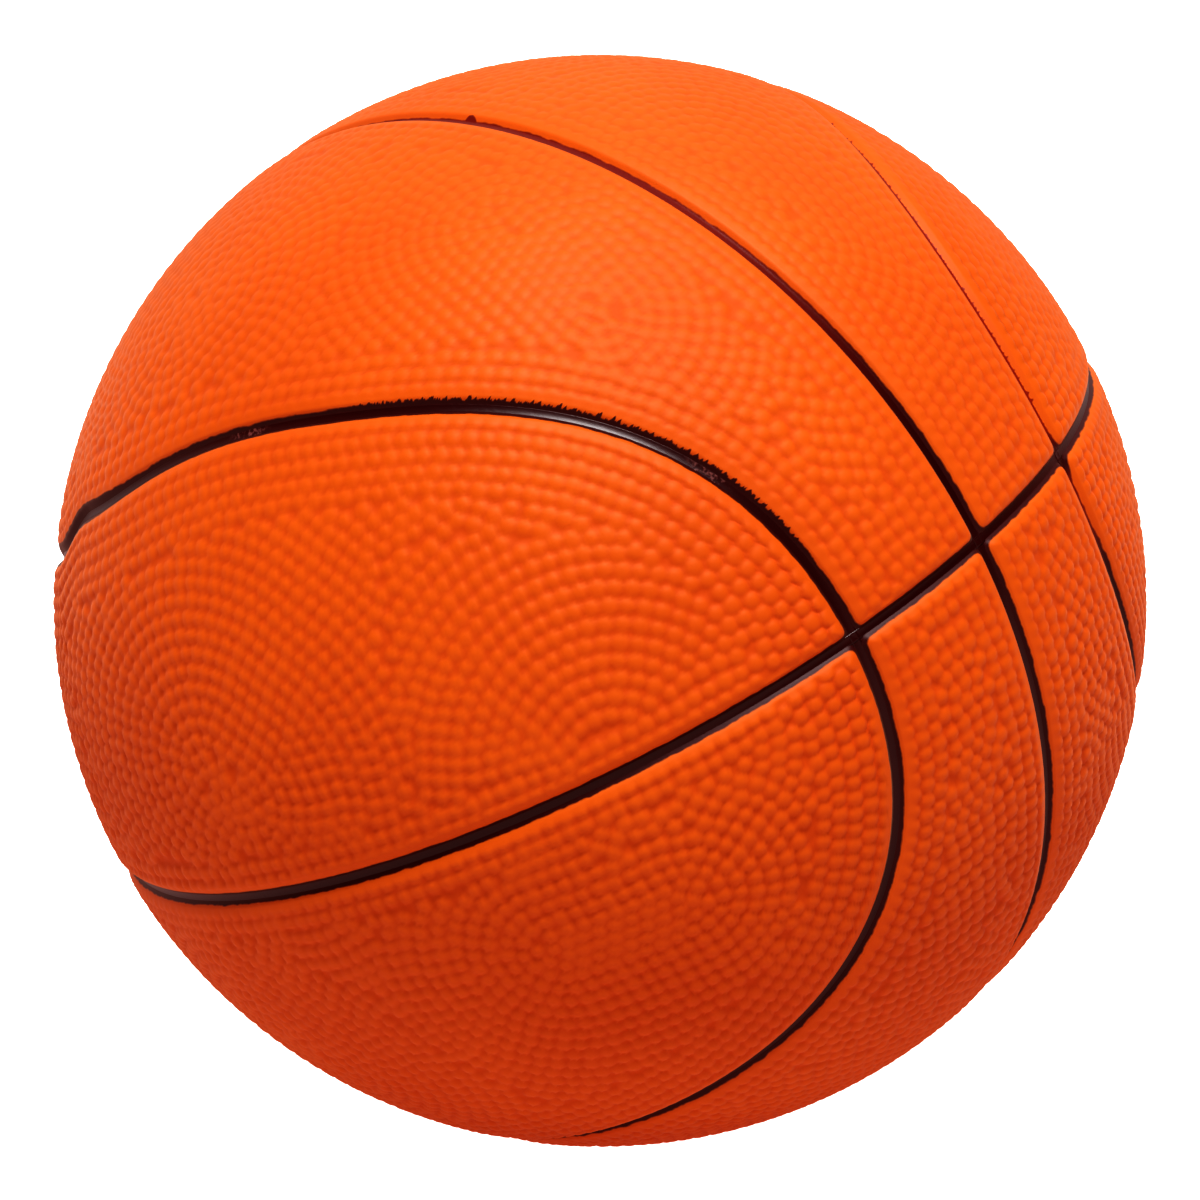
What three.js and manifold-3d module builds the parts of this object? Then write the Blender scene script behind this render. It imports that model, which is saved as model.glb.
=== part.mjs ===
// A full-size moulded rubber basketball and its inflation valve.
// Millimetres, +Z up, origin at the centre of the ball.
//
// The ball has its own axes. The equator channel lies in the plane z = 0 and the meridian channel in
// the plane x = 0, and a rib channel loops round each end of the x axis. Together they part the cover
// into eight panels. The whole ball is then turned to the way it lies.

import * as THREE from "three";
import { mergeVertices } from "three/addons/utils/BufferGeometryUtils.js";
import Module from "manifold-3d";

// Ball
const BALL_RADIUS = 120; // size 7: 754 mm round
const BALL_DETAIL = 10; // each edge of the icosahedron is split into one more than this
const BALL_TURN = { x: 7.7, y: -26.8, z: -133.7 }; // degrees

// Channels, cut by a round tool that follows the ball's surface
const CHANNEL_DEPTH = 1.2;
const CHANNEL_TOOL_RADIUS = 1.9; // leaves a channel 3.2 wide
const CHANNEL_TOOL_SIDES = 8;
const CHANNEL_STEPS = 72; // stretches round each channel

// A rib's angle from its end of the x axis, in degrees, is this mean, plus a swing twice a turn,
// plus a ripple six times a turn, so that it crosses the equator channel square.
const RIB_MEAN = 59.7;
const RIB_SWING = 13.1;
const RIB_RIPPLE = -0.6;
// The rib on the +x side was laid a little nearer its end over one shoulder.
const RIB_SAG = 5.9;
const RIB_SAG_FROM = 64;
const RIB_SAG_TO = 180;
// Past the top of that shoulder it dips nearer still, and comes back by the equator channel.
const RIB_DIP = 4.1;
const RIB_DIP_TURNS = { from: 113, full: 130, easing: 150, gone: 180 };

// Valve, in the panel between the meridian and the rib on the -x side
const VALVE_FROM_END = 75; // degrees from the -x end of the axis
const VALVE_ROUND = 140; // degrees about the x axis, from +y
const VALVE_HEAD_RADIUS = 4.2;
const VALVE_STEM_RADIUS = 3.4;
const VALVE_HEAD_HEIGHT = 3;
const VALVE_TAPER_HEIGHT = 2;
const VALVE_LENGTH = 18;
const VALVE_RECESS = 0.4; // the valve's face lies this far below the ball's surface
const NEEDLE_HOLE_RADIUS = 1;
const NEEDLE_HOLE_DEPTH = 12;
const VALVE_END_BEVEL = 1.2;
const VALVE_SIDES = 32;
const VALVE_GAP = 0.3; // between the valve and its pocket
const POCKET_ABOVE = 1.2; // how far the pocket's cutter stands past the valve's face

const MERGE_WITHIN = 1e-4; // corners nearer than this are one

const radians = THREE.MathUtils.degToRad;

const wasm = await Module();
wasm.setup();

function toSolid(geometry) {
  const bare = geometry.clone();
  bare.deleteAttribute("normal");
  bare.deleteAttribute("uv");
  const merged = mergeVertices(bare, MERGE_WITHIN);
  return new wasm.Manifold(
    new wasm.Mesh({
      numProp: 3,
      vertProperties: merged.attributes.position.array,
      triVerts: new Uint32Array(merged.index.array),
    }),
  );
}

function toGeometry(solid) {
  const mesh = solid.getMesh();
  const geometry = new THREE.BufferGeometry();
  geometry.setAttribute("position", new THREE.BufferAttribute(mesh.vertProperties, 3));
  geometry.setIndex(new THREE.BufferAttribute(mesh.triVerts, 1));
  geometry.computeVertexNormals();
  return geometry;
}

// A point at a distance from the ball's centre, at an angle from one end of the x axis (side is 1 for
// +x and -1 for -x) and turned about that axis from +y. Angles in radians.
function pointOnBall(side, fromEnd, round, distance) {
  return new THREE.Vector3(
    side * Math.cos(fromEnd),
    Math.sin(fromEnd) * Math.cos(round),
    Math.sin(fromEnd) * Math.sin(round),
  ).multiplyScalar(distance);
}

// The centre line of a rib channel. Its frames keep their normal straight away from the ball's
// centre, so that the channel tool never rolls.
class RibCurve extends THREE.Curve {
  constructor(side, sag, dip, distance) {
    super();
    this.side = side;
    this.sag = sag;
    this.dip = dip;
    this.distance = distance;
  }

  fromEnd(round) {
    const turn = THREE.MathUtils.radToDeg(round);
    const sagTurn = (turn - RIB_SAG_FROM) / (RIB_SAG_TO - RIB_SAG_FROM);
    const sagShare = Math.sin(Math.PI * THREE.MathUtils.clamp(sagTurn, 0, 1)) ** 2;
    const dipShare =
      THREE.MathUtils.smoothstep(turn, RIB_DIP_TURNS.from, RIB_DIP_TURNS.full) -
      THREE.MathUtils.smoothstep(turn, RIB_DIP_TURNS.easing, RIB_DIP_TURNS.gone);
    return radians(
      RIB_MEAN +
        RIB_SWING * Math.cos(2 * round) +
        RIB_RIPPLE * Math.cos(6 * round) -
        this.sag * sagShare -
        this.dip * dipShare,
    );
  }

  getPoint(t, target = new THREE.Vector3()) {
    const round = t * 2 * Math.PI;
    return target.copy(pointOnBall(this.side, this.fromEnd(round), round, this.distance));
  }

  computeFrenetFrames(segments) {
    const tangents = [];
    const normals = [];
    const binormals = [];
    for (let i = 0; i <= segments; i++) {
      const tangent = this.getTangentAt(i / segments);
      const normal = this.getPointAt(i / segments).normalize();
      tangents.push(tangent);
      normals.push(normal);
      binormals.push(new THREE.Vector3().crossVectors(tangent, normal));
    }
    return { tangents, normals, binormals };
  }
}

// The channel tool's path runs outside the ball, so that the tool sinks in by the channel's depth.
const TOOL_PATH_RADIUS = BALL_RADIUS + CHANNEL_TOOL_RADIUS - CHANNEL_DEPTH;

function circleChannel() {
  return new THREE.TorusGeometry(
    TOOL_PATH_RADIUS,
    CHANNEL_TOOL_RADIUS,
    CHANNEL_TOOL_SIDES,
    CHANNEL_STEPS,
  );
}

function ribChannel(side, sag, dip) {
  const path = new RibCurve(side, sag, dip, TOOL_PATH_RADIUS);
  return new THREE.TubeGeometry(path, CHANNEL_STEPS, CHANNEL_TOOL_RADIUS, CHANNEL_TOOL_SIDES, true);
}

// The valve's outline, from the inner end up to the face, grown by a margin. Its face is at y = 0.
function valveOutline(margin, faceAt) {
  const stem = VALVE_STEM_RADIUS + margin;
  const head = VALVE_HEAD_RADIUS + margin;
  const end = -VALVE_LENGTH - margin;
  return [
    new THREE.Vector2(0, end),
    new THREE.Vector2(stem - VALVE_END_BEVEL, end),
    new THREE.Vector2(stem, end + VALVE_END_BEVEL),
    new THREE.Vector2(stem, -VALVE_HEAD_HEIGHT - VALVE_TAPER_HEIGHT - margin),
    new THREE.Vector2(head, -VALVE_HEAD_HEIGHT - margin),
    new THREE.Vector2(head, faceAt),
  ];
}

function valveGeometry() {
  return new THREE.LatheGeometry(
    [
      ...valveOutline(0, 0),
      new THREE.Vector2(NEEDLE_HOLE_RADIUS, 0),
      new THREE.Vector2(NEEDLE_HOLE_RADIUS, -NEEDLE_HOLE_DEPTH),
      new THREE.Vector2(0, -NEEDLE_HOLE_DEPTH),
    ],
    VALVE_SIDES,
  );
}

// The pocket runs out past the ball's surface.
function valvePocket() {
  return new THREE.LatheGeometry(
    [...valveOutline(VALVE_GAP, POCKET_ABOVE), new THREE.Vector2(0, POCKET_ABOVE)],
    VALVE_SIDES,
  );
}

// Stands a piece made along +y in the ball's surface, at the valve's place.
function valvePlace() {
  const out = pointOnBall(-1, radians(VALVE_FROM_END), radians(VALVE_ROUND), 1);
  const turn = new THREE.Quaternion().setFromUnitVectors(new THREE.Vector3(0, 1, 0), out);
  const seat = out.clone().multiplyScalar(BALL_RADIUS - VALVE_RECESS);
  return new THREE.Matrix4().compose(seat, turn, new THREE.Vector3(1, 1, 1));
}

function ballGeometry() {
  const cuts = [
    circleChannel(),
    circleChannel().rotateY(Math.PI / 2),
    ribChannel(1, RIB_SAG, RIB_DIP),
    ribChannel(-1, 0, 0),
    valvePocket().applyMatrix4(valvePlace()),
  ];
  const round = toSolid(new THREE.IcosahedronGeometry(BALL_RADIUS, BALL_DETAIL));
  return toGeometry(cuts.reduce((solid, cut) => solid.subtract(toSolid(cut)), round));
}

const coverRubber = new THREE.MeshStandardMaterial({
  color: 0xe8500f,
  roughness: 0.55,
  metalness: 0,
});
const valveRubber = new THREE.MeshStandardMaterial({
  color: 0x17120f,
  roughness: 0.6,
  metalness: 0,
});

const ball = new THREE.Mesh(ballGeometry(), coverRubber);
ball.name = "ball";

const valve = new THREE.Mesh(valveGeometry(), valveRubber);
valve.name = "valve";
valve.applyMatrix4(valvePlace());

const turned = new THREE.Group();
turned.rotation.set(radians(BALL_TURN.x), radians(BALL_TURN.y), radians(BALL_TURN.z));
turned.add(ball, valve);

const basketball = new THREE.Group();
basketball.add(turned);

export default basketball;
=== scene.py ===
"""The looks of a moulded rubber basketball: pebbled cover panels, black channels and a valve.

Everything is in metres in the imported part's frame. The ball has its own axes, turned in that frame.
In them the equator channel lies in the plane z = 0 and the meridian channel in the plane x = 0, and a
rib channel loops round each end of the x axis. A place on the ball is given by its side (the end of
the x axis that it is nearer), its angle from that end, and its turn about the x axis from +y.
"""

import logging
import math
from collections.abc import Callable
from dataclasses import dataclass
from enum import Enum

import bpy
import numpy as np
from mathutils import Euler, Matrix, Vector


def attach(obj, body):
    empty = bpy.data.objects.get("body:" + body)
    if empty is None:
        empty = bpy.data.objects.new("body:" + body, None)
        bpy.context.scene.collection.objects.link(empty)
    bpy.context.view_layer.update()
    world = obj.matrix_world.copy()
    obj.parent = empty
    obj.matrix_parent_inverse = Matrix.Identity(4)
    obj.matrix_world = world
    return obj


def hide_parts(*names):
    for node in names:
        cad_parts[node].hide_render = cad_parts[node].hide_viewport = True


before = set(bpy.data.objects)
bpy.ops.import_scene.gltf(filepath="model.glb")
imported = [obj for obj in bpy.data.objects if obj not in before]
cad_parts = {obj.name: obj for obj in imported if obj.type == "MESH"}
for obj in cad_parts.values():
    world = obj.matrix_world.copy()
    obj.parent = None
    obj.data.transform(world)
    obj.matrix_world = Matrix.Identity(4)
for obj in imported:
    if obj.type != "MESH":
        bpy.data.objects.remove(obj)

LOG = logging.getLogger("basketball")
MM = 0.001


class Side(Enum):
    """The end of the ball's x axis that a piece is nearer."""

    FRONT = 1
    BACK = -1


class Half(Enum):
    """The side of the equator channel that a piece is on."""

    UPPER = 1
    LOWER = -1


def smooth_step(value: np.ndarray, low: float, high: float) -> np.ndarray:
    """0 up to low, 1 from high, and three t squared less two t cubed between them.

    Args:
        value: Numbers to ease.
        low: Where the rise starts.
        high: Where the rise ends.

    Returns:
        An array of the same shape, from 0 to 1.
    """
    t = np.clip((value - low) / (high - low), 0.0, 1.0)
    return t * t * (3.0 - 2.0 * t)


def rise_and_fall(value: np.ndarray, bounds: tuple[float, float, float, float]) -> np.ndarray:
    """Eased up to 1 from the first bound to the second, and down from the third to the fourth."""
    start, full, easing, gone = bounds
    return smooth_step(value, start, full) * (1.0 - smooth_step(value, easing, gone))


def unit(vectors: np.ndarray) -> np.ndarray:
    """Vectors scaled to a length of 1 along the last axis."""
    return vectors / np.linalg.norm(vectors, axis=-1, keepdims=True)


@dataclass(frozen=True)
class BallForm:
    """The ball's size, its turn in the frame, and the lines that its channels follow.

    A rib's angle from its end of the x axis is a mean, plus a swing twice a turn, plus a ripple six
    times a turn. Over one shoulder of the front rib a sine squared is taken off, and past the top of
    that shoulder an eased dip as well.
    """

    radius: float = 120 * MM
    turn_degrees: tuple[float, float, float] = (7.7, -26.8, -133.7)
    rib_mean: float = 59.7
    rib_swing: float = 13.1
    rib_ripple: float = -0.6
    sag: float = 5.9
    sag_from: float = 64.0
    sag_to: float = 180.0
    dip: float = 4.1
    dip_turns: tuple[float, float, float, float] = (113.0, 130.0, 150.0, 180.0)
    channel_depth: float = 1.25 * MM
    floor_half_width: float = 0.45 * MM
    shoulder_half_width: float = 2.25 * MM

    def rotation(self) -> np.ndarray:
        """The 3 by 3 matrix that takes the ball's axes to the frame: x, then y, then z turn."""
        x, y, z = (math.radians(a) for a in self.turn_degrees)
        turns = (Euler((x, 0, 0)), Euler((0, y, 0)), Euler((0, 0, z)))
        about_x, about_y, about_z = (np.array(t.to_matrix()) for t in turns)
        return about_x @ about_y @ about_z

    def to_frame(self, points: np.ndarray) -> np.ndarray:
        """Points in the ball's axes, turned into the frame."""
        return points @ self.rotation().T

    def rib_angle(self, side: Side, turn: np.ndarray) -> np.ndarray:
        """The rib's angle from its end of the x axis, in radians, at a turn about that axis."""
        degrees = self.rib_mean + self.rib_swing * np.cos(2 * turn) + self.rib_ripple * np.cos(6 * turn)
        if side is Side.FRONT:
            at = np.degrees(turn)
            share = (at - self.sag_from) / (self.sag_to - self.sag_from)
            degrees = degrees - self.sag * np.sin(np.pi * np.clip(share, 0.0, 1.0)) ** 2
            degrees = degrees - self.dip * rise_and_fall(at, self.dip_turns)
        return np.radians(degrees)

    def rib_slant(self, side: Side, turn: np.ndarray) -> np.ndarray:
        """Cosine of the angle between the rib and a circle round the x axis, at each turn."""
        step = 1e-4
        rise = (self.rib_angle(side, turn + step) - self.rib_angle(side, turn - step)) / (2 * step)
        return 1.0 / np.hypot(1.0, rise / np.sin(self.rib_angle(side, turn)))

    def place(self, side: Side, angle: np.ndarray, turn: np.ndarray) -> np.ndarray:
        """Directions from the centre: the x part is cos(angle), the rest sin(angle) turned about x."""
        parts = (side.value * np.cos(angle), np.sin(angle) * np.cos(turn), np.sin(angle) * np.sin(turn))
        return np.stack(np.broadcast_arrays(*parts), axis=-1)

    def turn_of(self, points: np.ndarray) -> np.ndarray:
        """The turn of each point about the x axis, in radians."""
        return np.arctan2(points[..., 2], points[..., 1])

    def rib_distance(self, side: Side, points: np.ndarray) -> np.ndarray:
        """Distance outwards from a rib's line, to first order, in metres and below 0 inside the loop."""
        angle = np.arccos(np.clip(side.value * points[..., 0], -1.0, 1.0))
        turn = self.turn_of(points)
        gap = angle - self.rib_angle(side, turn)
        return gap * self.rib_slant(side, turn) * self.radius

    def profile(self, distance: np.ndarray) -> np.ndarray:
        """Height of the cover at a distance from a channel's line: a flat floor, then an eased wall."""
        rise = smooth_step(distance, self.floor_half_width, self.shoulder_half_width)
        return (rise - 1.0) * self.channel_depth


@dataclass(frozen=True)
class PaintFlaws:
    """Where the channel paint is ragged, smeared, thin, blotted or missing.

    Places along a channel are turns about the x axis, in degrees. Four turns are where a flaw starts,
    is full, eases off and has gone.
    """

    form: BallForm
    rib_reach: float = 7 * MM
    meridian_reach: float = 0.06
    smear_width: float = 1.1 * MM
    smear_turns: tuple[float, float, float, float] = (92, 118, 165, 178)
    thin_width: float = 1.0 * MM
    thin_meridian: float = 0.5
    thin_meridian_turns: tuple[float, float, float, float] = (8, 45, 110, 150)
    thin_rib: float = 0.8
    thin_rib_turns: tuple[float, float, float, float] = (0, 4, 60, 90)
    thin_rib_below: float = 0.6
    thin_rib_turns_below: tuple[float, float, float, float] = (1, 4, 6, 15)
    creep_reach: float = 8 * MM
    front_creep: float = 1.0 * MM
    front_creep_turns: tuple[float, float, float, float] = (8, 16, 54, 62)
    back_creep: float = 0.5 * MM
    back_creep_turns: tuple[float, float, float, float] = (0, 8, 50, 58)
    blot_angle: float = 89.2
    blot_turn: float = 72.3
    blot_width: float = 1.1 * MM
    blot_core: float = 0.3 * MM
    blot_radius: float = 1.9 * MM
    speck_turns: tuple[float, ...] = (73.7, 22.5)
    speck_core: float = 2.0 * MM
    speck_radius: float = 6.0 * MM

    def near_rib(self, side: Side, points: np.ndarray) -> np.ndarray:
        """Whether each point is by the rib on a side of the ball."""
        near = np.abs(self.form.rib_distance(side, points)) < self.rib_reach
        return near & (side.value * points[..., 0] > 0)

    def thin(self, points: np.ndarray) -> np.ndarray:
        """Share by which the rubber shows through: on top of the meridian, and on the upper back rib."""
        turn = np.degrees(self.form.turn_of(points))
        meridian = np.abs(points[..., 0]) < self.meridian_reach
        top = self.thin_meridian * rise_and_fall(turn, self.thin_meridian_turns)
        rib = self.thin_rib * rise_and_fall(turn, self.thin_rib_turns)
        below = self.thin_rib_below * rise_and_fall(-turn, self.thin_rib_turns_below)
        back = self.near_rib(Side.BACK, points)
        return np.where(meridian, top, 0.0) + np.where(back, rib + below, 0.0)

    def extra_width(self, points: np.ndarray) -> np.ndarray:
        """How much further than usual the paint reaches from a channel's line, in metres.

        It reaches less where it is thin, more where it is smeared round the far shoulder of the front
        rib, and more at one blot by the meridian.
        """
        turn = np.degrees(self.form.turn_of(points))
        smear = np.where(self.near_rib(Side.FRONT, points), rise_and_fall(turn, self.smear_turns), 0.0)
        spot = self.form.place(Side.BACK, math.radians(self.blot_angle), math.radians(self.blot_turn))
        away = np.arccos(np.clip(points @ spot, -1, 1)) * self.form.radius
        blot = 1.0 - smooth_step(away, self.blot_core, self.blot_radius)
        width = self.smear_width * smear - self.thin_width * self.thin(points)
        return width + self.blot_width * blot

    def creep(self, side: Side, points: np.ndarray) -> np.ndarray:
        """Length of the fine spikes: outside the front rib, and on both sides of the back one."""
        turn = np.degrees(self.form.turn_of(points))
        away = self.form.rib_distance(side, points)
        near = away < self.creep_reach
        if side is Side.FRONT:
            return self.front_creep * (near & (away > 0)) * rise_and_fall(turn, self.front_creep_turns)
        return self.back_creep * near * rise_and_fall(turn, self.back_creep_turns)

    def specks(self, line: np.ndarray) -> np.ndarray:
        """Where paint is missing: two short stretches of the upper front rib, each an eased bump."""
        share = np.zeros(len(line))
        for turn in np.radians(self.speck_turns):
            spot = self.form.place(Side.FRONT, self.form.rib_angle(Side.FRONT, turn), turn)
            away = np.linalg.norm(line - spot, axis=1) * self.form.radius
            share += 1.0 - smooth_step(away, self.speck_core, self.speck_radius)
        return share


@dataclass(frozen=True)
class ValveForm:
    """The valve's place and sizes. It stands in the upper back band, its face just below the surface."""

    angle: float = 75.0
    turn: float = 140.0
    head_radius: float = 4.2 * MM
    stem_radius: float = 3.4 * MM
    head_height: float = 3 * MM
    taper_height: float = 2 * MM
    length: float = 18 * MM
    recess: float = 0.4 * MM
    end_bevel: float = 1.2 * MM
    needle_radius: float = 1 * MM
    needle_depth: float = 12 * MM
    edge: float = 0.35 * MM
    land_radius: float = 9.0 * MM
    land_height: float = 3.5 * MM
    seat_radius: float = 8.4 * MM
    seat_depth: float = 1.3 * MM
    bare_radius: float = 10.2 * MM
    land_gap: float = 0.3 * MM
    crown_rise: float = 0.12 * MM
    sides: int = 96

    def direction(self, form: BallForm) -> np.ndarray:
        """The way out along the valve's axis, in the ball's axes."""
        return form.place(Side.BACK, math.radians(self.angle), math.radians(self.turn))

    def distance(self, form: BallForm, points: np.ndarray) -> np.ndarray:
        """Distance over the ball from the valve's axis."""
        return np.arccos(np.clip(points @ self.direction(form), -1, 1)) * form.radius


@dataclass(frozen=True)
class PebbleSizes:
    """The moulded pebbles: low round domes in rows.

    The relief is the share of the height that they have at the bottom of the ball, and the worn share
    is what they have lost at its top.
    """

    row_gap: float = 3.6 * MM
    pitch: float = 3.5 * MM
    dome_radius: float = 2.25 * MM
    height: float = 0.76 * MM
    most_relief: float = 1.08
    worn: float = 0.42
    first_row: float = 3.3 * MM
    nearest_row: float = 2.8 * MM
    fade_from: float = 1.5 * MM
    crowding: float = 0.72
    settle_rounds: int = 8
    settle_share: float = 0.3
    ring_count: int = 30
    core_ring: float = 0.35
    hole_spots: int = 60000
    size_swing: float = 0.08
    gap_share: float = 0.95
    roundness: float = 2.3


@dataclass(frozen=True)
class Swirl:
    """A centre that rows of pebbles curl round, as rings of stadium shape.

    Its place is an angle from an end of the x axis and a turn about that axis. Its long axis leans
    from the line of constant angle, and is as long as twice its reach.
    """

    side: Side
    angle: float
    turn: float
    lean: float = 0.0
    reach: float = 0.0


SWIRLS = (
    Swirl(Side.FRONT, 46, 1),
    Swirl(Side.FRONT, 13, 66, 20, 5 * MM),
    Swirl(Side.FRONT, 41, -23, 75, 14 * MM),
    Swirl(Side.FRONT, 24, -120, 30, 6 * MM),
    Swirl(Side.FRONT, 50, 172, 10, 4 * MM),
    Swirl(Side.FRONT, 75, 50, 12, 16 * MM),
    Swirl(Side.FRONT, 62, 92, -50, 5 * MM),
    Swirl(Side.FRONT, 77, -22, 80, 10 * MM),
    Swirl(Side.FRONT, 66, -95, 20, 8 * MM),
    Swirl(Side.FRONT, 74, -150, 60, 6 * MM),
    Swirl(Side.FRONT, 72, 150, 30, 10 * MM),
    Swirl(Side.BACK, 83, 41, 15, 14 * MM),
    Swirl(Side.BACK, 72, 96, -30, 8 * MM),
    Swirl(Side.BACK, 80, -28, 70, 9 * MM),
    Swirl(Side.BACK, 68, -88, 10, 12 * MM),
    Swirl(Side.BACK, 76, -150, 40, 6 * MM),
    Swirl(Side.BACK, 44, 4, 60, 5 * MM),
    Swirl(Side.BACK, 18, 80, 0, 8 * MM),
    Swirl(Side.BACK, 38, -60, 45, 9 * MM),
    Swirl(Side.BACK, 30, 178, 80, 4 * MM),
)


class PebbleLayout:
    """Where the pebbles of one panel stand.

    Rows follow the panel's edges first. The middle is filled with rings of pebbles round the nearest
    swirl. Pebbles that crowd an earlier one are dropped and the rest push each other apart.
    """

    def __init__(self, form: BallForm, sizes: PebbleSizes, seed: int) -> None:
        """Keeps the ball's form and the pebbles' sizes, and starts the panel's own random numbers."""
        self.form = form
        self.sizes = sizes
        self.random = np.random.default_rng(seed)

    def rows_along(self, lines: list[np.ndarray]) -> np.ndarray:
        """Pebbles at an even pitch along each line of directions, each row starting at a random phase."""
        rows = []
        for line in lines:
            steps = np.linalg.norm(np.diff(line, axis=0), axis=1) * self.form.radius
            length = np.concatenate(([0.0], np.cumsum(steps)))
            count = max(int(length[-1] / self.sizes.pitch), 1)
            at = (np.arange(count) + self.random.random()) * length[-1] / count
            rows.append(np.stack([np.interp(at, length, line[:, k]) for k in range(3)], axis=1))
        return unit(np.concatenate(rows))

    def swirl_axes(self, swirl: Swirl) -> np.ndarray:
        """A swirl's centre, and the two directions along and across its long axis, as three rows."""
        angle, turn, lean = (math.radians(a) for a in (swirl.angle, swirl.turn, swirl.lean))
        centre = self.form.place(swirl.side, angle, turn)
        round_about = np.array([0.0, -math.sin(turn), math.cos(turn)])
        outward = np.cross(round_about, centre)
        long = math.cos(lean) * round_about + math.sin(lean) * outward
        return np.stack([centre, long, np.cross(centre, long)])

    def swirl_distance(self, swirl: Swirl, points: np.ndarray) -> np.ndarray:
        """Distance from a swirl's core line, on a map of the ball that keeps distances from its centre."""
        axes = self.swirl_axes(swirl)
        parts = points @ axes.T
        away = np.arccos(np.clip(parts[:, 0], -1, 1)) * self.form.radius
        spread = away / np.maximum(np.hypot(parts[:, 1], parts[:, 2]), 1e-9)
        along, across = parts[:, 1] * spread, parts[:, 2] * spread
        return np.hypot(np.maximum(np.abs(along) - swirl.reach, 0.0), across)

    def swirl_rings(self, swirl: Swirl) -> np.ndarray:
        """Rings of pebbles round a swirl, the innermost on its core line.

        A ring is two straight sides and two half circles. The place along it runs from the middle of
        a side, and the ring's map is laid on the ball by its distance and bearing from the centre.
        """
        number = np.arange(1, self.sizes.ring_count)
        ring = np.concatenate(([self.sizes.core_ring], number)) * self.sizes.row_gap
        straight = 2 * swirl.reach
        shrink = np.sin(ring / self.form.radius) / (ring / self.form.radius)
        counts = np.round((2 * straight + 2 * np.pi * ring) * shrink / self.sizes.pitch).astype(int)
        counts = np.maximum(counts, 2)
        ring_of = np.repeat(np.arange(len(ring)), counts)
        number = np.arange(counts.sum()) - np.repeat(np.cumsum(counts) - counts, counts)
        phase = self.random.random(len(ring))
        width = ring[ring_of]
        whole = 2 * straight + 2 * np.pi * width
        place = (number + phase[ring_of]) / counts[ring_of] * whole
        half = place >= whole / 2
        place = np.where(half, place - whole / 2, place)
        bend = np.maximum(place - straight, 0.0) / width
        along = np.minimum(place, straight) - swirl.reach + width * np.sin(bend)
        across = width * np.cos(bend)
        flip = np.where(half, -1.0, 1.0)
        along, across = along * flip, across * flip
        away = np.hypot(along, across)
        spread = np.sin(away / self.form.radius) / away
        parts = np.stack([np.cos(away / self.form.radius), along * spread, across * spread], axis=1)
        return parts @ self.swirl_axes(swirl)

    def fill(self, inside: Callable[[np.ndarray], np.ndarray]) -> np.ndarray:
        """Rings of every swirl, each kept inside the panel and where that swirl is the nearest one.

        Args:
            inside: A function that says for each point whether the panel has room for it.

        Returns:
            Directions of the pebbles.
        """
        kept = []
        for index, swirl in enumerate(SWIRLS):
            points = self.swirl_rings(swirl)
            points = points[inside(points)]
            if len(points):
                away = np.stack([self.swirl_distance(other, points) for other in SWIRLS])
                kept.append(points[np.argmin(away, axis=0) == index])
        return np.concatenate(kept)

    def thin_out(self, points: np.ndarray) -> np.ndarray:
        """Drops each pebble that stands too near an earlier one that stays.

        Args:
            points: Directions, the most important first.

        Returns:
            The directions that stay, in the same order.
        """
        closest = math.cos(self.sizes.crowding * self.sizes.pitch / self.form.radius)
        crowds = np.tril(points @ points.T > closest, -1)
        settled = np.zeros(len(points), bool)
        stays = np.zeros(len(points), bool)
        while not settled.all():
            free = ~settled & ~(crowds & ~settled[None, :]).any(axis=1)
            stays |= free & ~(crowds & stays[None, :]).any(axis=1)
            settled |= free
        return points[stays]

    def fill_holes(self, points: np.ndarray, inside: Callable[[np.ndarray], np.ndarray]) -> np.ndarray:
        """Adds a pebble wherever a hole is left.

        Candidates lie on a spiral over the whole ball, at even steps of height and a golden turn
        apart. Those with no pebble near them are thinned out among themselves.
        """
        count = self.sizes.hole_spots
        number = np.arange(count)
        height = 1.0 - (2 * number + 1) / count
        turn = number * math.pi * (3.0 - math.sqrt(5.0))
        ring = np.sqrt(1.0 - height**2)
        spots = np.stack([height, ring * np.cos(turn), ring * np.sin(turn)], axis=1)
        spots = spots[inside(spots)]
        closest = math.cos(self.sizes.crowding * self.sizes.pitch / self.form.radius)
        empty = [(part @ points.T).max(axis=1) < closest for part in np.array_split(spots, 8)]
        return np.concatenate([points, self.thin_out(spots[np.concatenate(empty)])])

    def settle(self, points: np.ndarray) -> np.ndarray:
        """Lets crowded pebbles push each other apart along the ball, a little at a time."""
        reach = self.sizes.pitch / self.form.radius
        for _ in range(self.sizes.settle_rounds):
            gap = np.sqrt(np.maximum(2.0 - 2.0 * points @ points.T, 1e-12))
            push = np.clip(reach - gap, 0.0, None) / gap
            np.fill_diagonal(push, 0.0)
            move = push.sum(axis=1)[:, None] * points - push @ points
            points = unit(points + self.sizes.settle_share * move)
        return points


@dataclass(frozen=True)
class PanelGrid:
    """How finely a panel is gridded."""

    cell: float = 0.83 * MM
    start_off: float = 0.35 * MM
    edge_offsets: tuple[float, ...] = (0.0, 0.2, 0.42, 0.64, 0.86, 1.08, 1.3, 1.55, 1.85, 2.2, 2.65, 3.2)
    wall: float = 4.0 * MM
    under_step: int = 9
    corner_blend: float = 1.8 * MM


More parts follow.
